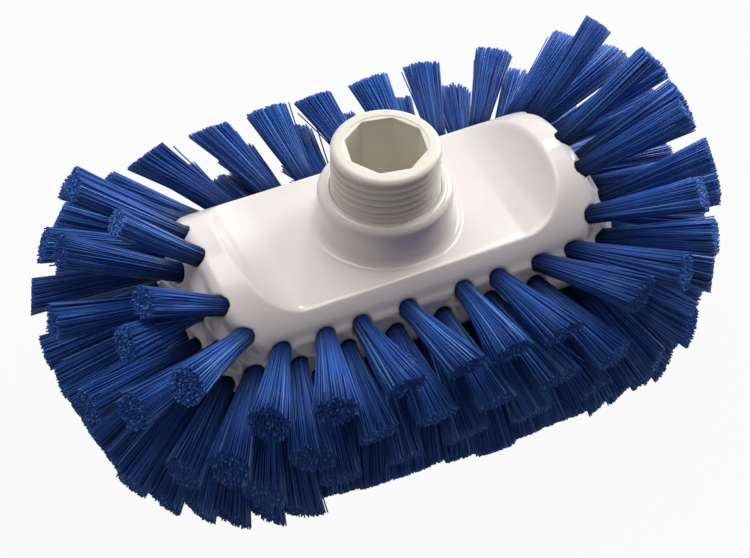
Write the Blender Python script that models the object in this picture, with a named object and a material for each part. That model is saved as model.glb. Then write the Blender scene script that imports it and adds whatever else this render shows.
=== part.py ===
"""Kettle brush head: a crowned white block with a grip channel and a round boss, a neck with an
octagonal handle socket pressed into the boss, and five rings of blue tufts fanned out round the
rim, the sides and the underside. Metres, +Z up along the socket, +X along the block. The head
stands on its lowest strands at z = 0, and the block's heights are counted from the channel floor."""

import math
import random

import bmesh
import bpy
from mathutils import Euler, Vector

# Block: the crown is part of a cylinder that lies along X, and the rim is its edge
RIM_HALF_LENGTH = 0.0620
RIM_HALF_WIDTH = 0.0305
RIM_CORNER = 0.0140
RIM_RIDGE = 0.0008
CROWN_HEIGHT = 0.0102
CROWN_RISE = 0.0183
UNDERSIDE_DROP = 0.0320

# Grip channel: a flat floor with rounded end walls, cut right across the crown
CHANNEL_HALF_FLOOR = 0.0350
CHANNEL_WALL_RADIUS = 0.0200
CREST_ROUND = 0.0014
CREST_WIDTH_SHARE = 0.88

# Boss on the channel floor, and the bore that the neck is pressed into
BOSS_RADIUS = 0.02075
BOSS_HEIGHT = 0.0138
BOSS_ROUND = 0.0016
BOSS_FOOT_ROUND = 0.0010
SEAT_DEPTH = 0.0110

# Neck with the octagonal socket; its radius is the thread's crest
NECK_RADIUS = 0.0166
NECK_TOP_HEIGHT = 0.0297
NECK_ROUND = 0.0015
RELIEF_DEPTH = 0.0009
RELIEF_HEIGHT = 0.0020
SOCKET_CORNER_RADIUS = 0.0124
SOCKET_FLOOR_HEIGHT = -0.0060
SOCKET_TURN_DEGREES = 10.9

# Tufts: each grows from a slice of the block let into a groove
ROOT_WIDTH = 0.0046
SLICE_DEPTH = 0.0018
SIDE_TUFT_LENGTH = 0.0330
END_TUFT_LENGTH = 0.0365
TUFT_FLARE = 0.0038
STRAND_TIP_HALF = 0.0014
STRAND_TRIM = 0.0012
REACH_CORNER = 0.0600
FLAT_CUT_DEPTH = 0.0005

# Clearances and overruns
SEAT_GAP = 0.0003
CUT_OVERRUN = 0.0040

# Rings of tufts from the rim down to the underside. Lengths, widths and corners are shares of
# the rim's; drops are shares of the way from the rim down to the underside, at the side and at
# the end. Angles in degrees, up from level: the face that the ring sits on, then its tufts. The
# tufts are spaced evenly at a share of their length out from the ring, so they crowd the corners.
RING_NAMES = ("rim_tufts", "upper_tufts", "middle_tufts", "lower_tufts", "base_tufts")
RING_LENGTH_SHARES = (0.985, 1.065, 1.116, 1.106, 0.960)
RING_WIDTH_SHARES = (1.003, 1.046, 1.013, 0.839, 0.360)
RING_CORNER_SHARES = (1.00, 1.05, 1.00, 0.90, 0.66)
RING_SIDE_DROP_SHARES = (0.015, 0.301, 0.598, 0.849, 0.990)
RING_END_DROP_SHARES = (0.038, 0.219, 0.398, 0.576, 0.880)
RING_SIDE_FACE_DEGREES = (18.0, -2.0, -24.0, -54.0, -84.0)
RING_END_FACE_DEGREES = (42.0, 24.0, 8.0, -16.0, -64.0)
RING_SIDE_TUFT_DEGREES = (10.0, -8.0, -30.0, -48.0, -80.0)
RING_END_TUFT_DEGREES = (40.0, 27.0, 10.0, -10.0, -48.0)
RING_SIDE_LENGTH_SHARES = (1.02, 1.05, 1.11, 1.24, 1.00)
RING_END_LENGTH_SHARES = (1.03, 1.03, 1.05, 1.10, 1.00)
RING_START_SHARES = (0.0, 0.78, 0.0, 0.5, 0.0)
RING_SPREAD_SHARES = (0.0, 0.16, 0.16, 0.16, 0.10)
HALF_TURN_GROUPS = ((3, 3, 4, 3), (3, 3, 4, 3), (3, 3, 3, 3), (4, 5, 4), (2, 3, 2))

# The rim's tufts, for half a turn: how far each stands from even spacing, as a share of the
# pitch, and how many degrees it leans along the rim out of the even fan
RIM_SHIFT_SHARES = (0.0, 0.30, 0.13, 0.05, 0.08, -0.08, 0.02, 0.35, 0.20, 0.27, 0.12, 0.01, 0.09)
RIM_LEAN_DEGREES = (-4.0, 10.0, 4.0, 0.0, 0.0, 9.0, 9.0, -6.0, -4.0, 14.0, 6.0, 0.0, -12.0)

# Underside face inside the last ring, as shares of the rim's length, width and corner
BASE_LENGTH_SHARE = 0.76
BASE_WIDTH_SHARE = 0.15
BASE_CORNER_SHARE = 0.25

# How far a tuft leans from square to the rim towards the wider outline of the tips
FAN_SHARE = 0.55

# Unevenness of the strands, as shares of their trim and flare
UNEVEN_SEED = 11
UNEVEN_FLARE_SHARE = 0.16

# Faceting
END_STEPS = 4
CORNER_STEPS = 7
SIDE_STEPS = 1
ROUND_STEPS = 3
CHANNEL_STEPS = 7
TURN_STEPS = 48
CREST_MIN_ANGLE_DEGREES = 20.0

WHITE = (0.80, 0.79, 0.76, 1.0)
IVORY = (0.74, 0.71, 0.63, 1.0)
BLUE = (0.02, 0.07, 0.30, 1.0)
QUARTER_SIGNS = ((1, 1), (-1, 1), (-1, -1), (1, -1))
STRAND_SIDES = ((-1, -1), (1, -1), (1, 1), (-1, 1))


def clear_scene():
    for item in list(bpy.data.objects):
        bpy.data.objects.remove(item, do_unlink=True)


def make_material(name, colour, roughness):
    material = bpy.data.materials.new(name)
    material.use_nodes = True
    shader = material.node_tree.nodes["Principled BSDF"]
    shader.inputs["Base Color"].default_value = colour
    shader.inputs["Roughness"].default_value = roughness
    shader.inputs["Metallic"].default_value = 0.0
    material.diffuse_color = colour
    return material


def object_from(bm, name, materials):
    bmesh.ops.recalc_face_normals(bm, faces=bm.faces)
    mesh = bpy.data.meshes.new(name)
    bm.to_mesh(mesh)
    bm.free()
    item = bpy.data.objects.new(name, mesh)
    for material in materials:
        mesh.materials.append(material)
    bpy.context.collection.objects.link(item)
    return item


def helper_from(bm, name):
    item = object_from(bm, name, [])
    item.hide_render = True
    item.display_type = "WIRE"
    return item


def add_boolean(item, tool, operation):
    modifier = item.modifiers.new(tool.name, "BOOLEAN")
    modifier.operation = operation
    modifier.solver = "EXACT"
    modifier.object = tool
    return modifier


def applied_mesh(item):
    """A mesh of the object as its modifiers leave it."""
    bpy.context.view_layer.update()
    graph = bpy.context.evaluated_depsgraph_get()
    return bpy.data.meshes.new_from_object(item.evaluated_get(graph))


def shade(item, degrees):
    item.data.shade_smooth()
    item.data.set_sharp_from_angle(angle=math.radians(degrees))


def crown_radius():
    return (RIM_HALF_WIDTH ** 2 + CROWN_RISE ** 2) / (2 * CROWN_RISE)


def crown_height(y):
    """Height of the crown above the channel floor, y off the middle line."""
    radius = crown_radius()
    return CROWN_HEIGHT - radius + math.sqrt(radius ** 2 - min(abs(y), RIM_HALF_WIDTH) ** 2)


def rise_share(y, half_width):
    """1 in the middle of an end and 0 along a side, following the crown's arc."""
    rim_y = y * RIM_HALF_WIDTH / half_width
    return (crown_height(rim_y) - crown_height(RIM_HALF_WIDTH)) / CROWN_RISE


def outline_point(size, place):
    """Point and outward direction on a rounded rectangle (half length, half width, corner).
    The place runs from 0 to 12: in each quarter an end half, a corner and a side half."""
    half_length, half_width, corner = size
    quarter = int(place // 3) % 4
    part = place - 3 * (place // 3)
    if quarter % 2:
        part = 3 - part
    end = half_width - corner
    side = half_length - corner
    if part <= 1:
        point, out = (half_length, end * part), (1.0, 0.0)
    elif part <= 2:
        angle = (part - 1) * math.pi / 2
        out = (math.cos(angle), math.sin(angle))
        point = (side + corner * out[0], end + corner * out[1])
    else:
        point, out = (side * (3 - part), half_width), (0.0, 1.0)
    sign = QUARTER_SIGNS[quarter]
    return (point[0] * sign[0], point[1] * sign[1]), (out[0] * sign[0], out[1] * sign[1])


def quarter_lengths(size):
    half_length, half_width, corner = size
    return half_width - corner, corner * math.pi / 2, half_length - corner


def matching_place(size, place, other):
    """The place on another outline that lies at the same share of its length."""
    quarter = int(place // 3)
    part = place - 3 * quarter
    if quarter % 2:
        part = 3 - part
    lengths = quarter_lengths(size)
    gone = sum(lengths[i] * min(max(part - i, 0), 1) for i in range(3))
    left = gone / sum(lengths) * sum(quarter_lengths(other))
    found = 0.0
    for length in quarter_lengths(other):
        step = min(left / length, 1.0) if length > 0 else 1.0
        found += step
        left -= step * length
    if quarter % 2:
        found = 3 - found
    return 3 * quarter + found


def ring_size(ring):
    return (RIM_HALF_LENGTH * RING_LENGTH_SHARES[ring],
            RIM_HALF_WIDTH * RING_WIDTH_SHARES[ring],
            RIM_CORNER * RING_CORNER_SHARES[ring])


def ring_height(ring, y):
    rim_side = CROWN_HEIGHT - CROWN_RISE
    side = rim_side - RING_SIDE_DROP_SHARES[ring] * (rim_side + UNDERSIDE_DROP)
    end = CROWN_HEIGHT - RING_END_DROP_SHARES[ring] * (CROWN_HEIGHT + UNDERSIDE_DROP)
    return side + (end - side) * rise_share(y, ring_size(ring)[1])


def ring_centre(ring, place):
    point, _ = outline_point(ring_size(ring), place)
    return Vector((point[0], point[1], ring_height(ring, point[1])))


def blended_angle(side_degrees, end_degrees, share):
    return math.radians(side_degrees + (end_degrees - side_degrees) * share)


def ring_frame(ring, place):
    """Centre of the ring's face at a place, with its directions out, up the face and along it."""
    nudge = 1 / 256
    centre = ring_centre(ring, place)
    along = (ring_centre(ring, place + nudge) - ring_centre(ring, place - nudge)).normalized()
    point, flat_out = outline_point(ring_size(ring), place)
    share = rise_share(point[1], ring_size(ring)[1])
    lean = blended_angle(RING_SIDE_FACE_DEGREES[ring], RING_END_FACE_DEGREES[ring], share)
    out = Vector((flat_out[0] * math.cos(lean), flat_out[1] * math.cos(lean), math.sin(lean)))
    out = (out - along * out.dot(along)).normalized()
    return centre, out, out.cross(along), along


def tuft_direction(ring, place, lean):
    """The way that a tuft grows: fanned in plan, leant along the rim by an angle of its own, and
    tilted from the side's angle to the end's."""
    size = ring_size(ring)
    point, out = outline_point(size, place)
    tips = (size[0] + END_TUFT_LENGTH, size[1] + END_TUFT_LENGTH, REACH_CORNER)
    goal, _ = outline_point(tips, matching_place(size, place, tips))
    fan = Vector((goal[0] - point[0], goal[1] - point[1], 0.0)).normalized()
    flat = (fan * FAN_SHARE + Vector((out[0], out[1], 0.0)) * (1 - FAN_SHARE)).normalized()
    flat.rotate(Euler((0, 0, lean)))
    share = rise_share(point[1], size[1])
    tilt = blended_angle(RING_SIDE_TUFT_DEGREES[ring], RING_END_TUFT_DEGREES[ring], share)
    return Vector((flat.x * math.cos(tilt), flat.y * math.cos(tilt), math.sin(tilt)))


def tuft_length(ring, place):
    point, _ = outline_point(ring_size(ring), place)
    share = rise_share(point[1], ring_size(ring)[1])
    side = SIDE_TUFT_LENGTH * RING_SIDE_LENGTH_SHARES[ring]
    end = END_TUFT_LENGTH * RING_END_LENGTH_SHARES[ring]
    return side + (end - side) * share


def stations():
    """Places of the block's cross-sections, alike in all four quarters."""
    quarter = []
    for part, steps in enumerate((END_STEPS, CORNER_STEPS, SIDE_STEPS)):
        for step in range(steps):
            quarter.append(part + step / steps)
    places = []
    for index in range(4):
        if index % 2 == 0:
            places.extend(3 * index + part for part in quarter)
        else:
            places.extend(3 * index + 3 - part for part in reversed(quarter + [3]) if part > 0)
    return places


def groove_loops(ring, places):
    """The four edges of the groove that takes a ring's slices: its mouth, floor and mouth."""
    half = ROOT_WIDTH / 2 + SEAT_GAP
    depth = SLICE_DEPTH + SEAT_GAP
    frames = [ring_frame(ring, place) for place in places]
    upper = [centre + up * half for centre, out, up, along in frames]
    lower = [centre - up * half for centre, out, up, along in frames]
    upper_floor = [centre + up * half - out * depth for centre, out, up, along in frames]
    lower_floor = [centre - up * half - out * depth for centre, out, up, along in frames]
    return [upper, upper_floor, lower_floor, lower]


def base_loop(places):
    size = (RIM_HALF_LENGTH * BASE_LENGTH_SHARE, RIM_HALF_WIDTH * BASE_WIDTH_SHARE,
            RIM_CORNER * BASE_CORNER_SHARE)
    points = [outline_point(size, place)[0] for place in places]
    return [Vector((x, y, -UNDERSIDE_DROP)) for x, y in points]


def cover_crown(bm, loop):
    """Flat strips along X close the crown between matching points of its two ends. The first
    and the last strip take in a whole straight side."""
    count = len(loop)
    near = count // 4
    half = count // 2
    run = SIDE_STEPS + 1
    for middle in (near, near + half):
        bm.faces.new([loop[(middle + i) % count] for i in range(-run, run + 1)])
    for i in range(run, half - run):
        right, next_right = loop[near - i], loop[near - i - 1]
        left, next_left = loop[(near + i) % count], loop[(near + i + 1) % count]
        bm.faces.new((right, left, next_left, next_right))


def block_body():
    """The block before its channel: loops from the rim down, lofted together."""
    places = stations()
    loops = []
    for ring in range(len(RING_NAMES)):
        loops.extend(groove_loops(ring, places))
    loops.append(base_loop(places))
    bm = bmesh.new()
    rows = [[bm.verts.new(point) for point in loop] for loop in loops]
    for upper, lower in zip(rows, rows[1:]):
        for index, vert in enumerate(upper):
            after = (index + 1) % len(upper)
            bm.faces.new((vert, lower[index], lower[after], upper[after]))
    cover_crown(bm, rows[0])
    bm.faces.new(rows[-1])
    return bm


def channel_cutter():
    """Profile of the channel in XZ, extruded right across the block."""
    top = CROWN_HEIGHT + CUT_OVERRUN
    turn = math.acos(max(1 - top / CHANNEL_WALL_RADIUS, 0))
    wall = []
    for step in range(CHANNEL_STEPS + 1):
        angle = turn * step / CHANNEL_STEPS
        x = CHANNEL_HALF_FLOOR + CHANNEL_WALL_RADIUS * math.sin(angle)
        wall.append((x, CHANNEL_WALL_RADIUS * (1 - math.cos(angle))))
    wall.append((wall[-1][0], top + CUT_OVERRUN))
    profile = wall + [(-x, z) for x, z in reversed(wall)]
    reach = RIM_HALF_WIDTH + CUT_OVERRUN
    bm = bmesh.new()
    face = bm.faces.new([bm.verts.new((x, -reach, z)) for x, z in profile])
    grown = bmesh.ops.extrude_face_region(bm, geom=[face])
    moved = [part for part in grown["geom"] if isinstance(part, bmesh.types.BMVert)]
    bmesh.ops.translate(bm, verts=moved, vec=(0, 2 * reach, 0))
    return helper_from(bm, "channel_cutter")


def round_crest(mesh):
    """Rounds the edge where the channel breaks out of the crown."""
    bm = bmesh.new()
    bm.from_mesh(mesh)
    least = math.radians(CREST_MIN_ANGLE_DEGREES)
    crest = []
    for edge in bm.edges:
        middle = (edge.verts[0].co + edge.verts[1].co) / 2
        inside = abs(middle.x) < CHANNEL_HALF_FLOOR + CHANNEL_WALL_RADIUS
        inside = inside and abs(middle.y) < RIM_HALF_WIDTH * CREST_WIDTH_SHARE
        inside = inside and middle.z > -CREST_ROUND
        if inside and edge.is_manifold and edge.calc_face_angle() > least:
            crest.append(edge)
    bmesh.ops.bevel(bm, geom=crest, offset=CREST_ROUND, offset_type="OFFSET", segments=2,
                    profile=0.5, affect="EDGES", clamp_overlap=True)
    bm.to_mesh(mesh)
    bm.free()


def turned(points, name):
    """A solid turned round Z from (radius, height) points that start and end on the axis."""
    bm = bmesh.new()
    profile = [bm.verts.new((radius, 0, height)) for radius, height in points]
    edges = [bm.edges.new(pair) for pair in zip(profile, profile[1:])]
    bmesh.ops.spin(bm, geom=profile + edges, cent=(0, 0, 0), axis=(0, 0, 1),
                   angle=2 * math.pi, steps=TURN_STEPS, use_merge=True)
    return bm


def arc(centre_radius, centre_height, radius, start_degrees, end_degrees):
    points = []
    for step in range(ROUND_STEPS + 1):
        angle = math.radians(start_degrees + (end_degrees - start_degrees) * step / ROUND_STEPS)
        points.append((centre_radius + radius * math.cos(angle),
                       centre_height + radius * math.sin(angle)))
    return points


def boss_tool():
    """The boss with a rounded top edge and a small fillet at its foot."""
    foot = arc(BOSS_RADIUS + BOSS_FOOT_ROUND, BOSS_FOOT_ROUND, BOSS_FOOT_ROUND, 270, 180)
    head = arc(BOSS_RADIUS - BOSS_ROUND, BOSS_HEIGHT - BOSS_ROUND, BOSS_ROUND, 0, 90)
    root = -SEAT_DEPTH / 2
    points = [(0, root), (foot[0][0], root)] + foot + head + [(0, BOSS_HEIGHT)]
    return helper_from(turned(points, "boss"), "boss_form")


def bore_tool():
    radius = NECK_RADIUS + SEAT_GAP
    floor = -SEAT_DEPTH - SEAT_GAP
    top = BOSS_HEIGHT + CUT_OVERRUN
    return helper_from(turned([(0, floor), (radius, floor), (radius, top), (0, top)], "bore"),
                       "bore_cutter")


def make_block(material):
    rough = object_from(block_body(), "block_rough", [material])
    add_boolean(rough, channel_cutter(), "DIFFERENCE")
    mesh = applied_mesh(rough)
    bpy.data.objects.remove(rough, do_unlink=True)
    round_crest(mesh)
    mesh.name = "brush_block"
    block = bpy.data.objects.new("brush_block", mesh)
    bpy.context.collection.objects.link(block)
    add_boolean(block, boss_tool(), "UNION")
    add_boolean(block, bore_tool(), "DIFFERENCE")
    shade(block, 28)
    return block


def octagon_cutter():
    """Eight-sided socket, turned as the moulding has it."""
    bm = bmesh.new()
    floor = []
    for index in range(8):
        angle = math.radians(SOCKET_TURN_DEGREES + 45 * index)
        floor.append(bm.verts.new((SOCKET_CORNER_RADIUS * math.cos(angle),
                                   SOCKET_CORNER_RADIUS * math.sin(angle),
                                   SOCKET_FLOOR_HEIGHT)))
    grown = bmesh.ops.extrude_face_region(bm, geom=[bm.faces.new(floor)])
    moved = [part for part in grown["geom"] if isinstance(part, bmesh.types.BMVert)]
    height = NECK_TOP_HEIGHT + CUT_OVERRUN - SOCKET_FLOOR_HEIGHT
    bmesh.ops.translate(bm, verts=moved, vec=(0, 0, height))
    return helper_from(bm, "socket_cutter")


def make_insert(material):
    """The neck: a seat in the boss, a relief above it, the thread's land and a rounded mouth."""
    head = arc(NECK_RADIUS - NECK_ROUND, NECK_TOP_HEIGHT - NECK_ROUND, NECK_ROUND, 0, 90)
    relief = NECK_RADIUS - RELIEF_DEPTH
    foot = BOSS_HEIGHT
    points = [(0, -SEAT_DEPTH), (NECK_RADIUS - NECK_ROUND, -SEAT_DEPTH),
              (NECK_RADIUS, -SEAT_DEPTH + NECK_ROUND), (NECK_RADIUS, foot),
              (relief, foot + RELIEF_DEPTH), (relief, foot + RELIEF_HEIGHT),
              (NECK_RADIUS, foot + RELIEF_HEIGHT + RELIEF_DEPTH)]
    points += head + [(0, NECK_TOP_HEIGHT)]
    insert = object_from(turned(points, "neck"), "socket_insert", [material])
    add_boolean(insert, octagon_cutter(), "DIFFERENCE")
    shade(insert, 28)
    return insert


def spread_point(ring, place, out_length):
    flat_out = outline_point(ring_size(ring), place)[1]
    return ring_centre(ring, place) + Vector((flat_out[0], flat_out[1], 0.0)) * out_length


def ring_path(ring, out_length=0.0):
    """Places round the ring with the distance gone at each, along the ring or out from it."""
    steps = 12 * END_STEPS * CORNER_STEPS * SIDE_STEPS
    places = [12 * step / steps for step in range(steps + 1)]
    points = [spread_point(ring, place, out_length) for place in places]
    gone = [0.0]
    for before, after in zip(points, points[1:]):
        gone.append(gone[-1] + (after - before).length)
    return places, gone


def place_at(path, distance):
    """The place on a ring that lies a distance along it; it runs on past a full turn."""
    places, gone = path
    total = gone[-1]
    turns = math.floor(distance / total)
    rest = distance - turns * total
    low, high = 0, len(gone) - 1
    while high - low > 1:
        middle = (low + high) // 2
        if gone[middle] <= rest:
            low = middle
        else:
            high = middle
    share = (rest - gone[low]) / (gone[high] - gone[low])
    return 12 * turns + places[low] + (places[high] - places[low]) * share


def distance_at(path, place):
    """How far along a ring a place lies; places run on past a full turn."""
    places, gone = path
    turns = math.floor(place / 12)
    rest = (place / 12 - turns) * (len(places) - 1)
    low = min(int(rest), len(places) - 2)
    return turns * gone[-1] + gone[low] + (gone[low + 1] - gone[low]) * (rest - low)


def station_distances(path):
    """Distances at which the block's own cross-sections cross the ring, over two turns."""
    places, gone = path
    total = gone[-1]
    found = []
    for place in stations():
        index = min(int(round(place * (len(places) - 1) / 12)), len(places) - 1)
        found.append(gone[index])
    return sorted(found) + [distance + total for distance in sorted(found)]


def bridged(marks, edges, goal):
    """Adds the way to the next edge, bent where the block's cross-sections bend it."""
    begin = edges[-1]
    between = [mark for mark in marks if begin + SEAT_GAP < mark < goal - SEAT_GAP]
    return edges + between + [goal]


def slice_distances(path, centres, begin, end):
    """Cell edges along one slice, and the index of the first cell of each tuft."""
    half = ROOT_WIDTH / 2
    marks = station_distances(path)
    edges = [begin + SEAT_GAP / 2]
    firsts = []
    for centre in centres:
        edges = bridged(marks, edges, centre - half)
        firsts.append(len(edges) - 1)
        edges += [centre, centre + half]
    return bridged(marks, edges, end - SEAT_GAP / 2), firsts


def slice_sections(bm, path, ring, edges):
    """Five corners at each cell edge: upper, middle and lower on the face, and two below."""
    sections = []
    for distance in edges:
        centre, out, up, along = ring_frame(ring, place_at(path, distance))
        half = up * (ROOT_WIDTH / 2)
        deep = out * SLICE_DEPTH
        ridge = out * RIM_RIDGE if ring == 0 else out * 0
        points = (centre + half, centre + ridge, centre - half,
                  centre - half - deep, centre + half - deep)
        sections.append([bm.verts.new(point) for point in points])
    return sections


def slice_faces(bm, sections):
    cells = []
    for here, there in zip(sections, sections[1:]):
        faces = []
        for corner in range(5):
            after = (corner + 1) % 5
            faces.append(bm.faces.new((here[corner], here[after], there[after], there[corner])))
        cells.append((faces[0], faces[1]))
    bm.faces.new(sections[0])
    bm.faces.new(list(reversed(sections[-1])))
    return cells


def grow_strand(bm, face, corners, tip, reach_along, reach_up):
    """Extrudes one cell of a tuft and draws its end to a small square about its own tip."""
    places = {vert.co.to_tuple(7): sides for vert, sides in corners}
    grown = bmesh.ops.extrude_discrete_faces(bm, faces=[face])["faces"][0]
    grown.material_index = 1
    for vert in grown.verts:
        along_side, up_side = places[vert.co.to_tuple(7)]
        vert.co = tip + reach_along * along_side + reach_up * up_side
    for edge in grown.edges:
        for side in edge.link_faces:
            side.material_index = 1


def grow_tuft(bm, ring, place, lean, sections, cells, dice):
    """Four strands that start side by side and spread towards their tips."""
    centre, out, up, along = ring_frame(ring, place)
    way = tuft_direction(ring, place, lean)
    across = (along - way * along.dot(way)).normalized()
    rise = across.cross(way) * -1
    if rise.dot(up) < 0:
        rise = rise * -1
    length = tuft_length(ring, place)
    for cell in range(2):
        for layer in range(2):
            side = 1 if cell else -1
            level = -1 if layer else 1
            uneven = 1 + UNEVEN_FLARE_SHARE * dice.uniform(-1, 1)
            trim = STRAND_TRIM * dice.uniform(0, 1) if ring < len(RING_NAMES) - 1 else 0.0
            spread = across * side + rise * level
            tip = centre + way * (length - trim) + spread * TUFT_FLARE * uneven
            corners = strand_corners(sections, cell, layer)
            grow_strand(bm, cells[cell][layer], corners, tip, across * STRAND_TIP_HALF,
                        rise * STRAND_TIP_HALF)


def strand_corners(sections, cell, layer):
    """The four corners of a tuft's cell, each with its side along the row and up the face."""
    here, there = sections[cell], sections[cell + 1]
    return ((here[layer], (-1, 1)), (there[layer], (1, 1)),
            (there[layer + 1], (1, -1)), (here[layer + 1], (-1, -1)))


def make_slice(ring, name, path, centres, leans, ends, dice, materials):
    bm = bmesh.new()
    edges, firsts = slice_distances(path, centres, ends[0], ends[1])
    sections = slice_sections(bm, path, ring, edges)
    cells = slice_faces(bm, sections)
    for centre, lean, first in zip(centres, leans, firsts):
        grow_tuft(bm, ring, place_at(path, centre), lean, sections[first:first + 3],
                  cells[first:first + 2], dice)
    return object_from(bm, name, materials)


def tuft_distances(ring, path):
    """Where the tufts of a ring stand along it, with one more beyond each end of the turn."""
    half = sum(HALF_TURN_GROUPS[ring])
    spread = ring_path(ring, SIDE_TUFT_LENGTH * RING_SPREAD_SHARES[ring])
    pitch = spread[1][-1] / half / 2
    shifts = RIM_SHIFT_SHARES if ring == 0 else (0,) * half
    distances = []
    for index in range(-1, 2 * half + 1):
        shifted = (index + RING_START_SHARES[ring] + shifts[index % half]) * pitch
        distances.append(distance_at(path, place_at(spread, shifted)))
    return distances


def tuft_leans(ring):
    half = sum(HALF_TURN_GROUPS[ring])
    degrees = RIM_LEAN_DEGREES if ring == 0 else (0,) * half
    return [math.radians(degrees[index % half]) for index in range(-1, 2 * half + 1)]


def make_ring(ring, materials):
    """All slices of one ring, in groups of neighbouring tufts. The second half turn repeats the
    first, unevenness too, so the head is alike from both ends."""
    path = ring_path(ring)
    distances = tuft_distances(ring, path)
    leans = tuft_leans(ring)
    made = []
    index = 1
    for half_turn in range(2):
        dice = random.Random(UNEVEN_SEED + ring)
        for size in HALF_TURN_GROUPS[ring]:
            name = "%s_%02d" % (RING_NAMES[ring], len(made) + 1)
            begin = (distances[index - 1] + distances[index]) / 2
            end = (distances[index + size - 1] + distances[index + size]) / 2
            made.append(make_slice(ring, name, path, distances[index:index + size],
                                   leans[index:index + size], (begin, end), dice, materials))
            index += size
    return made


def lowest(items):
    return min(vert.co.z for item in items for vert in item.data.vertices)


def cut_flat(item, height):
    """Trims the strands level at the standing height."""
    bm = bmesh.new()
    bm.from_mesh(item.data)
    parts = bm.verts[:] + bm.edges[:] + bm.faces[:]
    cut = bmesh.ops.bisect_plane(bm, geom=parts, plane_co=(0, 0, height), plane_no=(0, 0, -1),
                                 clear_outer=True)
    edges = [part for part in cut["geom_cut"] if isinstance(part, bmesh.types.BMEdge)]
    if edges:
        filled = bmesh.ops.holes_fill(bm, edges=edges, sides=0)["faces"]
        for face in filled:
            face.material_index = 1
    bmesh.ops.recalc_face_normals(bm, faces=bm.faces)
    bm.to_mesh(item.data)
    bm.free()


def stand_up(items, lift):
    """Hangs every object on one empty and lifts the head onto its flat."""
    stand = bpy.data.objects.new("stand", None)
    bpy.context.collection.objects.link(stand)
    stand.location = (0, 0, lift)
    for item in items:
        item.parent = stand


def build():
    clear_scene()
    white = make_material("white_block", WHITE, 0.35)
    ivory = make_material("ivory_insert", IVORY, 0.42)
    blue = make_material("blue_bristle", BLUE, 0.38)
    make_block(white)
    make_insert(ivory)
    tufts = []
    for ring in range(len(RING_NAMES)):
        tufts += make_ring(ring, [white, blue])
    ground = lowest(tufts) + FLAT_CUT_DEPTH
    for item in tufts:
        if lowest([item]) < ground:
            cut_flat(item, ground)
    stand_up([item for item in bpy.data.objects if item.type == "MESH"], -ground)


build()
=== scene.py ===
"""Looks of the kettle brush: a smooth white block with a round hole for every tuft, a neck with a
real thread, and every tuft as a bundle of blue filaments. Metres, in the frame of the CAD part."""

import math

import bmesh
import bpy
import numpy as np
from mathutils import Euler, Matrix, Vector


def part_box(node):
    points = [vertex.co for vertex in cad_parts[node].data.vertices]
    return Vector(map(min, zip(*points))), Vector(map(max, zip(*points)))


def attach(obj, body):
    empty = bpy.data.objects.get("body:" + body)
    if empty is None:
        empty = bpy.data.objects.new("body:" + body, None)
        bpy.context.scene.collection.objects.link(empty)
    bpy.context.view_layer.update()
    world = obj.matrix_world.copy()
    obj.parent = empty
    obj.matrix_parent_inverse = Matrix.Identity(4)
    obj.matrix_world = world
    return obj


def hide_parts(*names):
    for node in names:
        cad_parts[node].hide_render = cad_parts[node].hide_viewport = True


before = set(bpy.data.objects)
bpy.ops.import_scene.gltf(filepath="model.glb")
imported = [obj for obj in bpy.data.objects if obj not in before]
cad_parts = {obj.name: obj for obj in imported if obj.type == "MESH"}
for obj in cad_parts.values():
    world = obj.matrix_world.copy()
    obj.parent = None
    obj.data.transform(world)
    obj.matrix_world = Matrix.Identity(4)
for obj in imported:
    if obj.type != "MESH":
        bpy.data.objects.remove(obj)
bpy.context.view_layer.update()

# Block and neck, as in the part's source
RIM_HALF_LENGTH = 0.0620
RIM_HALF_WIDTH = 0.0305
RIM_CORNER = 0.0140
RIM_RIDGE = 0.0008
CROWN_HEIGHT = 0.0102
CROWN_RISE = 0.0183
UNDERSIDE_DROP = 0.0320
CHANNEL_HALF_FLOOR = 0.0350
CHANNEL_WALL_RADIUS = 0.0200
BOSS_RADIUS = 0.02075
BOSS_HEIGHT = 0.0138
BOSS_ROUND = 0.0026
BOSS_FOOT_ROUND = 0.0030
SEAT_DEPTH = 0.0110
NECK_RADIUS = 0.0166
NECK_TOP_HEIGHT = 0.0297
NECK_ROUND = 0.0018
SOCKET_CORNER_RADIUS = 0.0124
SOCKET_FLOOR_HEIGHT = -0.0060
SOCKET_TURN_DEGREES = 10.9

# Rings of tufts, as in the part's source: rim, upper, middle, lower and base
SIDE_TUFT_LENGTH = 0.0330
END_TUFT_LENGTH = 0.0365
REACH_CORNER = 0.0600
RING_NAMES = ("rim", "upper", "middle", "lower", "base")
RING_LENGTH_SHARES = (0.985, 1.065, 1.116, 1.106, 0.960)
RING_WIDTH_SHARES = (1.003, 1.046, 1.013, 0.839, 0.360)
RING_CORNER_SHARES = (1.00, 1.05, 1.00, 0.90, 0.66)
RING_SIDE_DROP_SHARES = (0.015, 0.301, 0.598, 0.849, 0.990)
RING_END_DROP_SHARES = (0.038, 0.219, 0.398, 0.576, 0.880)
RING_SIDE_FACE_DEGREES = (18.0, -2.0, -24.0, -54.0, -84.0)
RING_END_FACE_DEGREES = (42.0, 24.0, 8.0, -16.0, -64.0)
RING_SIDE_TUFT_DEGREES = (10.0, -8.0, -30.0, -48.0, -80.0)
RING_END_TUFT_DEGREES = (40.0, 27.0, 10.0, -10.0, -48.0)
RING_SIDE_LENGTH_SHARES = (1.02, 1.05, 1.11, 1.24, 1.00)
RING_END_LENGTH_SHARES = (1.03, 1.03, 1.05, 1.10, 1.00)
RING_START_SHARES = (0.0, 0.78, 0.0, 0.5, 0.0)
RING_SPREAD_SHARES = (0.0, 0.16, 0.16, 0.16, 0.10)
HALF_TURN_GROUPS = ((3, 3, 4, 3), (3, 3, 4, 3), (3, 3, 3, 3), (4, 5, 4), (2, 3, 2))
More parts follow.
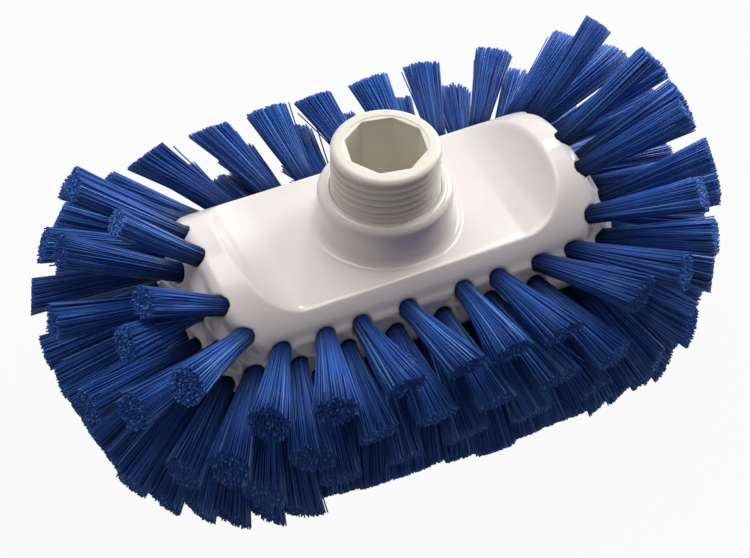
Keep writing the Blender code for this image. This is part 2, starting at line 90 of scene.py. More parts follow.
RIM_SHIFT_SHARES = (0.0, 0.30, 0.13, 0.05, 0.08, -0.08, 0.02, 0.35, 0.20, 0.27, 0.12, 0.01, 0.09)
RIM_LEAN_DEGREES = (-4.0, 10.0, 4.0, 0.0, 0.0, 9.0, 9.0, -6.0, -4.0, 14.0, 6.0, 0.0, -12.0)
FAN_SHARE = 0.55
QUARTER_SIGNS = ((1, 1), (-1, 1), (-1, -1), (1, -1))
OUTLINE_STEPS = 336

# Block, as it looks
FACE_WIDTH = 0.0046
BASE_SHARES = (0.76, 0.15, 0.25)
LOFT_STEPS = (10, 18, 1)
TOOL_OVERSHOOT = 0.004
CHANNEL_TOOL_HALF_WIDTH = 0.040
CHANNEL_WALL_STEPS = 30
TURNED_STEPS = 128
NECK_CLEARANCE = 0.0003
HOLE_RADIUS = 0.00278
HOLE_DEPTH = 0.0060
HOLE_REACH = 0.0045
HOLE_SIDES = 24
VOXEL, QUICK_VOXEL = 0.00038, 0.00060
EVEN_ROUNDS = 3
EVEN_WEIGHT = 0.8
CREST_ROUNDS, BAND_ROUNDS, QUICK_ROUNDS = 26, 24, 10
SMOOTHING_STEP = 0.6
CREST_TOP = 1.6
CREST_REACH = 0.0014
CREST_DEPTH = 0.001
BAND_START = 0.0035
BAND_BLEND = 0.002

# Neck, as it looks
STEP_RADIUS = 0.0128
STEP_DEPTH = 0.0002
MOUTH_CHAMFER = 0.0002
SOCKET_TAPER = 0.012
SOCKET_CORNER_SHARE = 0.996
COLLAR_PROUD = 0.00022
COLLAR_FOOT = -0.0095
WAIST_DEPTH = 0.0009
THREAD_PITCH = 0.00255
THREAD_DEPTH = 0.0018
THREAD_TOP_GROOVE = 0.0274
THREAD_END = 0.0163
THREAD_RUN_OUT = 0.0006
THREAD_ROW_HEIGHT = 0.00014
THREAD_TOP_FADE = (0.0012, 0.0008)
THREAD_END_FADE = 0.0010
GROOVE_POWER = 0.85
NECK_STEPS = 240
NECK_ROUND_STEPS = 10
SOCKET_ROWS = 12
SHARP_DEGREES = 26.0

# Tufts, as they look. A tuft's trimmed end faces up by the cut degrees of its ring.
TUFT_ROOT_RADIUS = 0.00262
SIDE_TIP_RADIUS = 0.0062
END_TIP_RADII = (0.0038, 0.0050, 0.0052, 0.0052, 0.0048)
FRONT_CUT_DEGREES = (-22.0, -22.0, -28.0, -38.0, -80.0)
BACK_CUT_DEGREES = (40.0, 24.0, 5.0, -34.0, -80.0)
END_CUT_DEGREES = (36.0, 24.0, 8.0, -12.0, -48.0)
GAP_SEEKING = 0.75
WIDEST_GAP = 0.0115
FRONT_TIPS = 0.001
BACK_TIPS = 0.030
# (ring, tuft): further turn in degrees, counterclockwise from above, and share of its length
TUFT_CHANGES = {(0, 0): (3, 1.0), (0, 2): (-11, 1.0), (0, 3): (-7, 1.04), (0, 7): (4, 1.0),
                (0, 8): (8, 1.02), (0, 9): (-2, 1.04), (0, 10): (9, 0.97), (0, 13): (-6, 0.80),
                (0, 14): (-14, 0.78), (0, 15): (1, 1.0), (0, 22): (0, 1.06), (0, 23): (-2, 1.08),
                (0, 24): (-5, 1.03), (0, 25): (-3, 1.0),
                (1, 0): (-9, 1.05), (1, 1): (-7, 1.15), (1, 6): (-4, 1.01), (1, 7): (-6, 1.0),
                (1, 8): (-5, 1.0), (1, 12): (-9, 1.0), (1, 13): (22, 0.90), (1, 14): (3, 1.03),
                (1, 15): (4, 0.98), (1, 16): (4, 0.95), (1, 17): (6, 0.93), (1, 18): (4, 0.94),
                (1, 22): (8, 1.12), (1, 23): (10, 1.0),
                (2, 0): (0, 1.03), (2, 1): (0, 1.08), (2, 10): (6, 0.98), (2, 13): (3, 1.0),
                (2, 14): (5, 0.84), (2, 15): (1, 0.88), (2, 16): (3, 0.92), (2, 17): (3, 0.92),
                (2, 18): (0, 0.93), (2, 19): (0, 0.95), (2, 20): (0, 0.96), (2, 22): (14, 1.0),
                (3, 0): (-10, 1.0), (3, 15): (0, 0.91), (3, 20): (0, 1.03)}
FILAMENTS = 360
FILAMENT_RADIUS = 0.00024
FILAMENT_SIDES = 4
FILAMENT_PLACES = (0.0, 0.30, 0.66, 1.0)
FILAMENT_START = -HOLE_DEPTH * 0.55
GOLDEN_TURN = 2.39996
STRAY_SHARE = 0.012
# Share of filaments painted pale blue as highlight streaks
PAINTED_HIGHLIGHT_SHARE = 0.06
LOWEST_FILAMENT = 0.0004

# Camera, fitted to the photograph: elevation, azimuth and roll; the brush's middle as seen from
# it, rightwards, upwards and ahead; and the width of its film and its lens in millimetres
CAMERA_DEGREES = (46.31, 25.43, 0.5)
CAMERA_AIM = (0.00306, 0.01914, 0.58092)
CAMERA_FILM = (36.0, 91.2)

floor_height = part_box("socket_insert")[1].z - NECK_TOP_HEIGHT


# ---- shape of the block ----

def crown_height(y):
    """Height of the crowned top at a distance from the middle line."""
    radius = (RIM_HALF_WIDTH ** 2 + CROWN_RISE ** 2) / (2 * CROWN_RISE)
    return CROWN_HEIGHT - radius + math.sqrt(radius ** 2 - min(abs(y), RIM_HALF_WIDTH) ** 2)


def rise_share(y, half_width):
    """0 at the sides of an outline and 1 at its middle line, as the crown rises."""
    rim_y = y * RIM_HALF_WIDTH / half_width
    return (crown_height(rim_y) - crown_height(RIM_HALF_WIDTH)) / CROWN_RISE


def outline_point(size, place):
    """Point on a rounded rectangle and the way out there. A place runs from 0 to 12: three parts
    for each quarter, which are half of the end, the corner and half of the side."""
    half_length, half_width, corner = size
    quarter = int(place // 3) % 4
    part = place - 3 * (place // 3)
    if quarter % 2:
        part = 3 - part
    end = half_width - corner
    side = half_length - corner
    if part <= 1:
        point, out = (half_length, end * part), (1.0, 0.0)
    elif part <= 2:
        angle = (part - 1) * math.pi / 2
        out = (math.cos(angle), math.sin(angle))
        point = (side + corner * out[0], end + corner * out[1])
    else:
        point, out = (side * (3 - part), half_width), (0.0, 1.0)
    sign = QUARTER_SIGNS[quarter]
    return (point[0] * sign[0], point[1] * sign[1]), (out[0] * sign[0], out[1] * sign[1])


def quarter_lengths(size):
    half_length, half_width, corner = size
    return half_width - corner, corner * math.pi / 2, half_length - corner


def matching_place(size, place, other):
    """Place on another outline at the same share of the quarter's length."""
    quarter = int(place // 3)
    part = place - 3 * quarter
    if quarter % 2:
        part = 3 - part
    lengths = quarter_lengths(size)
    gone = sum(lengths[i] * min(max(part - i, 0), 1) for i in range(3))
    left = gone / sum(lengths) * sum(quarter_lengths(other))
    found = 0.0
    for length in quarter_lengths(other):
        step = min(left / length, 1.0) if length > 0 else 1.0
        found += step
        left -= step * length
    if quarter % 2:
        found = 3 - found
    return 3 * quarter + found


def ring_size(ring):
    return (RIM_HALF_LENGTH * RING_LENGTH_SHARES[ring], RIM_HALF_WIDTH * RING_WIDTH_SHARES[ring],
            RIM_CORNER * RING_CORNER_SHARES[ring])


def ring_centre(ring, place):
    """Middle of a ring's face. The rings follow the crown: they rise towards the ends."""
    point, _ = outline_point(ring_size(ring), place)
    rim_side = CROWN_HEIGHT - CROWN_RISE
    side = rim_side - RING_SIDE_DROP_SHARES[ring] * (rim_side + UNDERSIDE_DROP)
    end = CROWN_HEIGHT - RING_END_DROP_SHARES[ring] * (CROWN_HEIGHT + UNDERSIDE_DROP)
    height = side + (end - side) * rise_share(point[1], ring_size(ring)[1])
    return Vector((point[0], point[1], height))


def blended(side, end, share):
    return math.radians(side + (end - side) * share)


def ring_frame(ring, place):
    """Centre of a ring's face at a place, the way it faces, and the way up along it."""
    nudge = 1 / 256
    centre = ring_centre(ring, place)
    along = (ring_centre(ring, place + nudge) - ring_centre(ring, place - nudge)).normalized()
    point, flat_out = outline_point(ring_size(ring), place)
    share = rise_share(point[1], ring_size(ring)[1])
    lean = blended(RING_SIDE_FACE_DEGREES[ring], RING_END_FACE_DEGREES[ring], share)
    out = Vector((flat_out[0] * math.cos(lean), flat_out[1] * math.cos(lean), math.sin(lean)))
    out = (out - along * out.dot(along)).normalized()
    return centre, out, out.cross(along)


def tuft_direction(ring, place, lean):
    """Way that a tuft points: between straight out and the fan to the outline of all tips."""
    size = ring_size(ring)
    point, out = outline_point(size, place)
    tips = (size[0] + END_TUFT_LENGTH, size[1] + END_TUFT_LENGTH, REACH_CORNER)
    goal, _ = outline_point(tips, matching_place(size, place, tips))
    fan = Vector((goal[0] - point[0], goal[1] - point[1], 0.0)).normalized()
    flat = (fan * FAN_SHARE + Vector((out[0], out[1], 0.0)) * (1 - FAN_SHARE)).normalized()
    flat.rotate(Euler((0, 0, lean)))
    share = rise_share(point[1], size[1])
    tilt = blended(RING_SIDE_TUFT_DEGREES[ring], RING_END_TUFT_DEGREES[ring], share)
    return Vector((flat.x * math.cos(tilt), flat.y * math.cos(tilt), math.sin(tilt)))


def tuft_length(ring, place):
    point, _ = outline_point(ring_size(ring), place)
    share = rise_share(point[1], ring_size(ring)[1])
    side = SIDE_TUFT_LENGTH * RING_SIDE_LENGTH_SHARES[ring]
    end = END_TUFT_LENGTH * RING_END_LENGTH_SHARES[ring]
    return side + (end - side) * share


def ring_tufts(ring):
    """Every tuft of a ring: its centre, way, length and group, and how its end is cut."""
    half = sum(HALF_TURN_GROUPS[ring])
    reach = SIDE_TUFT_LENGTH * RING_SPREAD_SHARES[ring]
    places = [12 * step / OUTLINE_STEPS for step in range(OUTLINE_STEPS + 1)]
    points = []
    for place in places:
        flat_out = outline_point(ring_size(ring), place)[1]
        points.append(ring_centre(ring, place) + Vector((*flat_out, 0.0)) * reach)
    gone = np.concatenate([[0.0], np.cumsum([(b - a).length for a, b in zip(points, points[1:])])])
    groups = [g for g, size in enumerate(HALF_TURN_GROUPS[ring] * 2) for _ in range(size)]
    shifts = RIM_SHIFT_SHARES if ring == 0 else (0,) * half
    leans = RIM_LEAN_DEGREES if ring == 0 else (0,) * half
    found = []
    for index in range(2 * half):
        share = (index + RING_START_SHARES[ring] + shifts[index % half]) / (2 * half)
        place = float(np.interp(share % 1.0 * gone[-1], gone, places))
        way = tuft_direction(ring, place, math.radians(leans[index % half]))
        centre = ring_centre(ring, place)
        lean, longer = TUFT_CHANGES.get((ring, index), (0, 1.0))
        way.rotate(Euler((0, 0, math.radians(lean))))
        found.append({"centre": centre, "way": way, "length": tuft_length(ring, place) * longer,
                      "group": groups[index], "up": ring_frame(ring, place)[2],
                      "end_share": rise_share(centre.y, ring_size(ring)[1]),
                      "cut": cut_normal(ring, place), "hole": True, "ring": ring})
    return found


def cut_normal(ring, place):
    """Way that the trimmed end of a tuft faces: square to the outline of the whole brush."""
    size = ring_size(ring)
    tips = (size[0] + END_TUFT_LENGTH, size[1] + END_TUFT_LENGTH, REACH_CORNER)
    point, out = outline_point(tips, matching_place(size, place, tips))
    side = (BACK_CUT_DEGREES if point[1] > 0 else FRONT_CUT_DEGREES)[ring]
    tilt = math.radians(side + (END_CUT_DEGREES[ring] - side) * abs(out[0]))
    return Vector((out[0] * math.cos(tilt), out[1] * math.cos(tilt), math.sin(tilt)))


def tip_of(tuft):
    return tuft["centre"] + tuft["way"] * tuft["length"]


def seek_gaps(members, others):
    """Leans tufts sideways, so that their tips come to lie between the tips of another ring."""
    tips = [tip_of(tuft) for tuft in others]
    around = sorted(math.atan2(tip.y, tip.x) for tip in tips)
    around = [around[-1] - 2 * math.pi] + around + [around[0] + 2 * math.pi]
    for tuft in members:
        tip = tip_of(tuft)
        angle = math.atan2(tip.y, tip.x)
        after = next(i for i, other in enumerate(around) if other > angle)
        turn = ((around[after - 1] + around[after]) / 2 - angle) * GAP_SEEKING
        shift = Vector((-math.sin(angle), math.cos(angle), 0)) * (math.hypot(tip.x, tip.y) * turn)
        tuft["way"] = (tip + shift - tuft["centre"]).normalized()


def tuft_between(one, other, share, length):
    """A tuft like the first of two, set between them, without a hole of its own."""
    way = one["way"].lerp(other["way"], share).normalized()
    return {**one, "centre": one["centre"].lerp(other["centre"], share), "way": way,
            "length": length, "hole": False}


def fill_gaps(members):
    """More tufts for a ring wherever two of its tips lie far apart, apart from where the
    photograph shows gaps at its ends."""
    ordered = sorted(members, key=lambda tuft: math.atan2(tip_of(tuft).y, tip_of(tuft).x))
    found = []
    for one, other in zip(ordered, ordered[1:] + ordered[:1]):
        a, b = tip_of(one), tip_of(other)
        count = int((a - b).length / WIDEST_GAP)
        if FRONT_TIPS < (a.y + b.y) / 2 < BACK_TIPS:
            continue
        for step in range(count):
            share = (step + 1) / (count + 1)
            length = one["length"] + (other["length"] - one["length"]) * share
            found.append(tuft_between(one, other, share, length))
    return found


def back_tufts(upper, middle):
    """More tufts at the back, whose tips show between the tufts of the first two rings."""
    found = []
    for one in upper:
        a = tip_of(one)
        later = [tuft for tuft in middle if tip_of(tuft).x > a.x and tip_of(tuft).y > BACK_TIPS]
        if a.y > BACK_TIPS and later:
            other = min(later, key=lambda tuft: (tip_of(tuft) - a).length)
            centre = one["centre"].lerp(other["centre"], 0.5)
            tip = a.lerp(tip_of(other), 0.5)
            more = tuft_between(one, other, 0.5, (tip - centre).length)
            more["way"] = (tip - centre).normalized()
            found.append(more)
    return found


tufts = [ring_tufts(ring) for ring in range(len(RING_NAMES))]
seek_gaps(tufts[3], tufts[2])
tufts[3] += fill_gaps(tufts[3])
tufts[1] += back_tufts(tufts[1], tufts[2])


# ---- mesh helpers ----

def object_from(bm, name):
    bmesh.ops.recalc_face_normals(bm, faces=bm.faces)
    mesh = bpy.data.meshes.new(name)
    bm.to_mesh(mesh)
    bm.free()
    item = bpy.data.objects.new(name, mesh)
    bpy.context.scene.collection.objects.link(item)
    return item


def boolean(item, tool, operation):
    """Applies a boolean and deletes its tool."""
    modifier = item.modifiers.new("cut", "BOOLEAN")
    modifier.operation = operation
    modifier.solver = "EXACT"
    modifier.object = tool
    bake(item)
    bpy.data.objects.remove(tool, do_unlink=True)


def bake(item):
    """Applies the modifiers of an object."""
    bpy.context.view_layer.update()
    graph = bpy.context.evaluated_depsgraph_get()
    mesh = bpy.data.meshes.new_from_object(item.evaluated_get(graph))
    item.modifiers.clear()
    item.data = mesh


def turned(points):
    """A solid of revolution from (radius, height) points."""
    bm = bmesh.new()
    profile = [bm.verts.new((radius, 0, height)) for radius, height in points]
    edges = [bm.edges.new(pair) for pair in zip(profile, profile[1:])]
    bmesh.ops.spin(bm, geom=profile + edges, cent=(0, 0, 0), axis=(0, 0, 1),
                   angle=2 * math.pi, steps=TURNED_STEPS, use_merge=True)
    return bm


def arc(centre_radius, centre_height, radius, start, end, steps=8):
    """(radius, height) points on an arc between two angles in degrees."""
    points = []
    for step in range(steps + 1):
        angle = math.radians(start + (end - start) * step / steps)
        points.append((centre_radius + radius * math.cos(angle),
                       centre_height + radius * math.sin(angle)))
    return points


# ---- block ----

def block_loft():
    """The moulding before its channel, boss and holes: loops of every ring, and a crowned top."""
    quarter = []
    for part, steps in enumerate(LOFT_STEPS):
        quarter += [part + step / steps for step in range(steps)]
    places = []
    for index in range(len(QUARTER_SIGNS)):
        if index % 2 == 0:
            places += [3 * index + part for part in quarter]
        else:
            places += [3 * index + 3 - part for part in reversed(quarter + [3]) if part > 0]
    loops = []
    for ring in range(len(RING_NAMES)):
        frames = [ring_frame(ring, place) for place in places]
        loops.append([centre + up * (FACE_WIDTH / 2) for centre, _, up in frames])
        if ring == 0:
            loops.append([centre + out * RIM_RIDGE for centre, out, _ in frames])
        loops.append([centre - up * (FACE_WIDTH / 2) for centre, _, up in frames])
    size = (RIM_HALF_LENGTH * BASE_SHARES[0], RIM_HALF_WIDTH * BASE_SHARES[1],
            RIM_CORNER * BASE_SHARES[2])
    base = [outline_point(size, place)[0] for place in places]
    loops.append([Vector((x, y, -UNDERSIDE_DROP)) for x, y in base])
    bm = bmesh.new()
    rows = [[bm.verts.new(point) for point in loop] for loop in loops]
    for upper, lower in zip(rows, rows[1:]):
        for index, vert in enumerate(upper):
            after = (index + 1) % len(upper)
            bm.faces.new((vert, lower[index], lower[after], upper[after]))
    loop, count = rows[0], len(rows[0])
    near, half = count // 4, count // 2
    for middle in (near, near + half):
        bm.faces.new([loop[(middle + i) % count] for i in range(-2, 3)])
    for i in range(2, half - 2):
        right, next_right = loop[near - i], loop[near - i - 1]
        left, next_left = loop[(near + i) % count], loop[(near + i + 1) % count]
        bm.faces.new((right, left, next_left, next_right))
    bm.faces.new(rows[-1])
    return object_from(bm, "brush_block_moulding")


def channel_tool():
    top = CROWN_HEIGHT + TOOL_OVERSHOOT
    turn = math.acos(1 - top / CHANNEL_WALL_RADIUS)
    wall = []
    for step in range(CHANNEL_WALL_STEPS + 1):
        angle = turn * step / CHANNEL_WALL_STEPS
        wall.append((CHANNEL_HALF_FLOOR + CHANNEL_WALL_RADIUS * math.sin(angle),
                     CHANNEL_WALL_RADIUS * (1 - math.cos(angle))))
    wall.append((wall[-1][0], top + TOOL_OVERSHOOT))
    profile = wall + [(-x, z) for x, z in reversed(wall)]
    bm = bmesh.new()
    face = bm.faces.new([bm.verts.new((x, -CHANNEL_TOOL_HALF_WIDTH, z)) for x, z in profile])
    grown = bmesh.ops.extrude_face_region(bm, geom=[face])
    moved = [part for part in grown["geom"] if isinstance(part, bmesh.types.BMVert)]
    bmesh.ops.translate(bm, verts=moved, vec=(0, 2 * CHANNEL_TOOL_HALF_WIDTH, 0))
    return object_from(bm, "channel")


def hole_tools():
    """One mesh with a blind hole for every tuft, along the tuft."""
    bm = bmesh.new()
    for ring in tufts:
        for tuft in [tuft for tuft in ring if tuft["hole"]]:
            turn = tuft["way"].to_track_quat("Z", "Y").to_matrix().to_4x4()
            depth = HOLE_DEPTH + HOLE_REACH
            middle = tuft["centre"] + tuft["way"] * (HOLE_REACH - depth / 2)
            spot = Matrix.Translation(middle) @ turn
            bmesh.ops.create_cone(bm, cap_ends=True, segments=HOLE_SIDES, radius1=HOLE_RADIUS,
                                  radius2=HOLE_RADIUS, depth=depth, matrix=spot)
    return object_from(bm, "holes")


def vertex_places(mesh):
    points = np.empty(len(mesh.vertices) * 3)
    mesh.vertices.foreach_get("co", points)
    return points.reshape(-1, 3)


def smooth(mesh, weights, rounds):
    """Moves each vertex towards the middle of its neighbours, by its weight."""
    count = len(mesh.vertices)
    points = vertex_places(mesh)
    edges = np.empty(len(mesh.edges) * 2, np.int64)
    mesh.edges.foreach_get("vertices", edges)
    a, b = edges.reshape(-1, 2).T
    valence = np.bincount(a, minlength=count) + np.bincount(b, minlength=count)
    for _ in range(rounds):
        total = np.empty_like(points)
        for axis in range(3):
            total[:, axis] = (np.bincount(a, points[b, axis], count)
                              + np.bincount(b, points[a, axis], count))
        points += (total / valence[:, None] - points) * (weights * SMOOTHING_STEP)[:, None]
    mesh.vertices.foreach_set("co", points.ravel())
    mesh.update()


def drop_specks(mesh):
    """Keeps the part of an even mesh that hangs together with its highest point."""
    bm = bmesh.new()
    bm.from_mesh(mesh)
    front = [max(bm.verts, key=lambda vert: vert.co.z)]
    reached = set(front)
    while front:
        vert = front.pop()
        for edge in vert.link_edges:
            other = edge.other_vert(vert)
            if other not in reached:
                reached.add(other)
                front.append(other)
    loose = [vert for vert in bm.verts if vert not in reached]
    bmesh.ops.delete(bm, geom=loose, context="VERTS")
    bm.to_mesh(mesh)
    bm.free()


def crest_weights(mesh):
    """Full near the edges where the channel breaks out of the crown, and none elsewhere."""
    x, y, z = vertex_places(mesh).T
    radius = (RIM_HALF_WIDTH ** 2 + CROWN_RISE ** 2) / (2 * CROWN_RISE)
    crown = CROWN_HEIGHT - radius + np.sqrt(np.maximum(radius ** 2 - y ** 2, 0))
    side = np.clip(np.abs(x) - CHANNEL_HALF_FLOOR, 0, CHANNEL_WALL_RADIUS)
    wall = CHANNEL_WALL_RADIUS - np.sqrt(CHANNEL_WALL_RADIUS ** 2 - side ** 2)
    off = np.maximum(np.abs(z - np.minimum(crown, wall)) - CREST_DEPTH, 0)
    return np.clip(CREST_TOP - (np.abs(crown - wall) + off) / CREST_REACH, 0, 1)


def band_weights(mesh):
    """Full on the band that carries the tufts, outside the edge of the crown."""
    x, y, _ = vertex_places(mesh).T
    over_x = np.abs(x) - (RIM_HALF_LENGTH - RIM_CORNER)
    over_y = np.abs(y) - (RIM_HALF_WIDTH - RIM_CORNER)
    outside = np.hypot(np.maximum(over_x, 0), np.maximum(over_y, 0)) - RIM_CORNER
    inside = np.minimum(np.maximum(over_x, over_y), 0)
    return np.clip((outside + inside + BAND_START) / BAND_BLEND, 0, 1)


def make_block():
    block = block_loft()
    boolean(block, channel_tool(), "DIFFERENCE")
    foot = arc(BOSS_RADIUS + BOSS_FOOT_ROUND, BOSS_FOOT_ROUND, BOSS_FOOT_ROUND, 270, 180)
    head = arc(BOSS_RADIUS - BOSS_ROUND, BOSS_HEIGHT - BOSS_ROUND, BOSS_ROUND, 0, 90)
    root = -SEAT_DEPTH / 2
    boss = [(0, root), (foot[0][0], root)] + foot + head + [(0, BOSS_HEIGHT)]
    boolean(block, object_from(turned(boss), "boss"), "UNION")
    radius, top = NECK_RADIUS + NECK_CLEARANCE, BOSS_HEIGHT + TOOL_OVERSHOOT
    bore = [(0, -SEAT_DEPTH), (radius, -SEAT_DEPTH), (radius, top), (0, top)]
    boolean(block, object_from(turned(bore), "bore"), "DIFFERENCE")
    boolean(block, hole_tools(), "DIFFERENCE")
    remesh = block.modifiers.new("even", "REMESH")
    remesh.mode = "VOXEL"
    remesh.voxel_size = VOXEL
    bake(block)
    drop_specks(block.data)
    smooth(block.data, np.full(len(block.data.vertices), EVEN_WEIGHT), EVEN_ROUNDS)
    smooth(block.data, crest_weights(block.data), CREST_ROUNDS)
    smooth(block.data, band_weights(block.data), BAND_ROUNDS)
    block.data.shade_smooth()
    block.location.z = floor_height
    return block


# ---- neck ----

def socket_radius(angle):
    """Radius of the octagonal socket at an angle."""
    flat = SOCKET_CORNER_RADIUS * math.cos(math.pi / 8)
    turn = (angle - math.radians(SOCKET_TURN_DEGREES)) % (math.pi / 4) - math.pi / 8
    return min(flat / math.cos(turn), SOCKET_CORNER_RADIUS * SOCKET_CORNER_SHARE)


def thread_radius(angle, height):
    """Crest radius less the groove's depth: round crests and narrow grooves, which climb round
    the neck and fade out at both ends."""
    phase = (height - THREAD_TOP_GROOVE - THREAD_PITCH * angle / (2 * math.pi)) / THREAD_PITCH
    off = abs(phase - round(phase)) * 2
    groove = (1 - math.sin(math.pi / 2 * off)) ** GROOVE_POWER
    above, reach = THREAD_TOP_FADE
    fade = min(max((THREAD_TOP_GROOVE + above - height) / reach, 0), 1)
    fade *= min(max((height - THREAD_END) / THREAD_END_FADE + 0.5, 0), 1)
    return NECK_RADIUS - THREAD_DEPTH * groove * fade


def neck_rows(angles):
    """The neck as rows of (radius, height), from its foot over the thread into the socket."""
    around = len(angles)
    collar = NECK_RADIUS + COLLAR_PROUD
    waist = NECK_RADIUS - WAIST_DEPTH
    top = NECK_TOP_HEIGHT - NECK_ROUND
    low = [(collar, COLLAR_FOOT), (collar, BOSS_HEIGHT - 0.0010), (collar, BOSS_HEIGHT - 0.0002),
           (collar - 0.0004, BOSS_HEIGHT + 0.0003), (waist, BOSS_HEIGHT + 0.0009),
           (waist, THREAD_END - 0.0010)]
    rows = [[(radius, height)] * around for radius, height in low]
    threaded = top - THREAD_END + THREAD_RUN_OUT
    count = int(threaded / THREAD_ROW_HEIGHT)
    for i in range(count + 1):
        height = THREAD_END - THREAD_RUN_OUT + threaded * i / count
        rows.append([(thread_radius(angle, height), height) for angle in angles])
    rounded = arc(NECK_RADIUS - NECK_ROUND, top, NECK_ROUND, 0, 90, NECK_ROUND_STEPS)[1:]
    step = [(STEP_RADIUS + STEP_DEPTH, NECK_TOP_HEIGHT),
            (STEP_RADIUS, NECK_TOP_HEIGHT - STEP_DEPTH)]
    rows += [[(radius, height)] * around for radius, height in rounded + step]
    mouth = [socket_radius(angle) for angle in angles]
    bottom = NECK_TOP_HEIGHT - SOCKET_FLOOR_HEIGHT
    chamfer = [(MOUTH_CHAMFER, STEP_DEPTH),
               (MOUTH_CHAMFER * 0.3, STEP_DEPTH + MOUTH_CHAMFER * 0.3),
               (0, STEP_DEPTH + MOUTH_CHAMFER)]
    walls = [(0, 0.001 + (bottom - 0.001) * i / SOCKET_ROWS) for i in range(SOCKET_ROWS + 1)]
    for wider, depth in chamfer + walls:
        taper = SOCKET_TAPER * depth
        rows.append([(radius + wider - taper, NECK_TOP_HEIGHT - depth) for radius in mouth])
    return rows


def make_neck():
    turn = math.radians(SOCKET_TURN_DEGREES)
    angles = [turn + 2 * math.pi * i / NECK_STEPS for i in range(NECK_STEPS)]
    bm = bmesh.new()
    made = [[bm.verts.new((radius * math.cos(angle), radius * math.sin(angle), height))
             for (radius, height), angle in zip(row, angles)] for row in neck_rows(angles)]
    for upper, lower in zip(made, made[1:]):
        for i in range(NECK_STEPS):
            j = (i + 1) % NECK_STEPS
            bm.faces.new((upper[i], lower[i], lower[j], upper[j]))
    bm.faces.new(made[0])
    bm.faces.new(made[-1])
    neck = object_from(bm, "threaded_neck")
    neck.data.shade_smooth()
    neck.data.set_sharp_from_angle(angle=math.radians(SHARP_DEGREES))
    neck.location.z = floor_height
    return neck


# ---- tufts ----

def tuft_curves(rng, tuft):
    """Centre line of every filament of a tuft: from inside its hole to its trimmed tip."""
    way = np.array(tuft["way"])
    across = np.cross(way, np.array(tuft["up"]))
    across /= np.linalg.norm(across)
    rise = np.cross(across, way)
    # where each filament stands in the round root, and where in the wider tip
    turn = np.arange(FILAMENTS) * GOLDEN_TURN + rng.uniform(0, 6)
    share = np.sqrt((np.arange(FILAMENTS) + 0.5) / FILAMENTS)
    share = np.clip(share + rng.normal(0, 0.02, FILAMENTS), 0, 1)
    root = TUFT_ROOT_RADIUS * share
    clumps = 1 + 0.05 * np.sin(turn * 5 + rng.uniform(0, 6)) + 0.04 * np.sin(turn * 9)
    end_radius = END_TIP_RADII[tuft["ring"]]
    tip_radius = SIDE_TIP_RADIUS + (end_radius - SIDE_TIP_RADIUS) * tuft["end_share"]
    flare = tip_radius * rng.uniform(0.94, 1.05) * share ** 0.9 * clumps
    flare = flare * (1 + rng.normal(0, 0.035, FILAMENTS))
    squash = rng.uniform(0.92, 1.06)
    turn_tip = turn + rng.normal(0, 0.07, FILAMENTS)
    stray = rng.random(FILAMENTS) < STRAY_SHARE
    flare = np.where(stray, flare * rng.uniform(1.1, 1.45, FILAMENTS), flare)
    # lengths, trimmed along the plane of the cut
    tip_length = tuft["length"] * rng.uniform(0.98, 1.01) - rng.uniform(0, 0.0009, FILAMENTS)
    cut = np.array(tuft["cut"])
    off = flare * (np.cos(turn_tip) * cut.dot(across) + np.sin(turn_tip) * squash * cut.dot(rise))
    tip_length -= off / max(cut.dot(way), 0.6)
    tip_length = np.where(stray, tip_length - rng.uniform(0, 0.004, FILAMENTS), tip_length)
    # a slight bend of the tuft and a wave of each filament
    bend = rng.normal(0, 0.0005, 2)
    wave = rng.normal(0, 0.00014, (FILAMENTS, 2))
    points = []
    for place in FILAMENT_PLACES:
        reach = FILAMENT_START + (tip_length - FILAMENT_START) * place
        gone = np.clip(reach / tip_length, 0, 1)
        radius = root + (flare - root) * gone ** 1.1
        angle = turn + (turn_tip - turn) * gone
        bulge = np.sin(np.pi * gone)
        side = radius * np.cos(angle) + bend[0] * gone ** 2 + wave[:, 0] * bulge
        lift = radius * np.sin(angle) * squash + bend[1] * gone ** 2 + wave[:, 1] * bulge
        points.append(np.array(tuft["centre"]) + reach[:, None] * way + side[:, None] * across
                      + lift[:, None] * rise)
    return np.array(points), across, rise


def tuft_tubes(rng, members):
    """Vertices of every filament of some tufts, ring of sides after ring of sides, and the tone
    and the share of the way to the tip of each."""
    all_points, all_tones, all_shares = [], [], []
    sides = np.arange(FILAMENT_SIDES) * 2 * math.pi / FILAMENT_SIDES
    side_x = FILAMENT_RADIUS * np.cos(sides)[None, :, None]
    side_y = FILAMENT_RADIUS * np.sin(sides)[None, :, None]
    for tuft in members:
        points, across, rise = tuft_curves(rng, tuft)
        for row in points[1:]:
            row[:, 2] = np.maximum(row[:, 2], LOWEST_FILAMENT - floor_height)
        tones = np.clip(rng.normal(0.42, 0.2, FILAMENTS) + rng.normal(0, 0.08), 0, 0.85)
        # A few filaments get the top tone, which the material paints as highlight streaks
        tones = np.where(rng.random(FILAMENTS) < PAINTED_HIGHLIGHT_SHARE, 1.0, tones)
        for step, row in enumerate(points):
            tube = row[:, None, :] + side_x * across + side_y * rise
            all_points.append(tube.reshape(-1, 3))
            all_tones.append(np.repeat(tones, FILAMENT_SIDES))
            all_shares.append(np.full(len(all_tones[-1]), step / (len(FILAMENT_PLACES) - 1)))
    return np.concatenate(all_points), np.concatenate(all_tones), np.concatenate(all_shares)


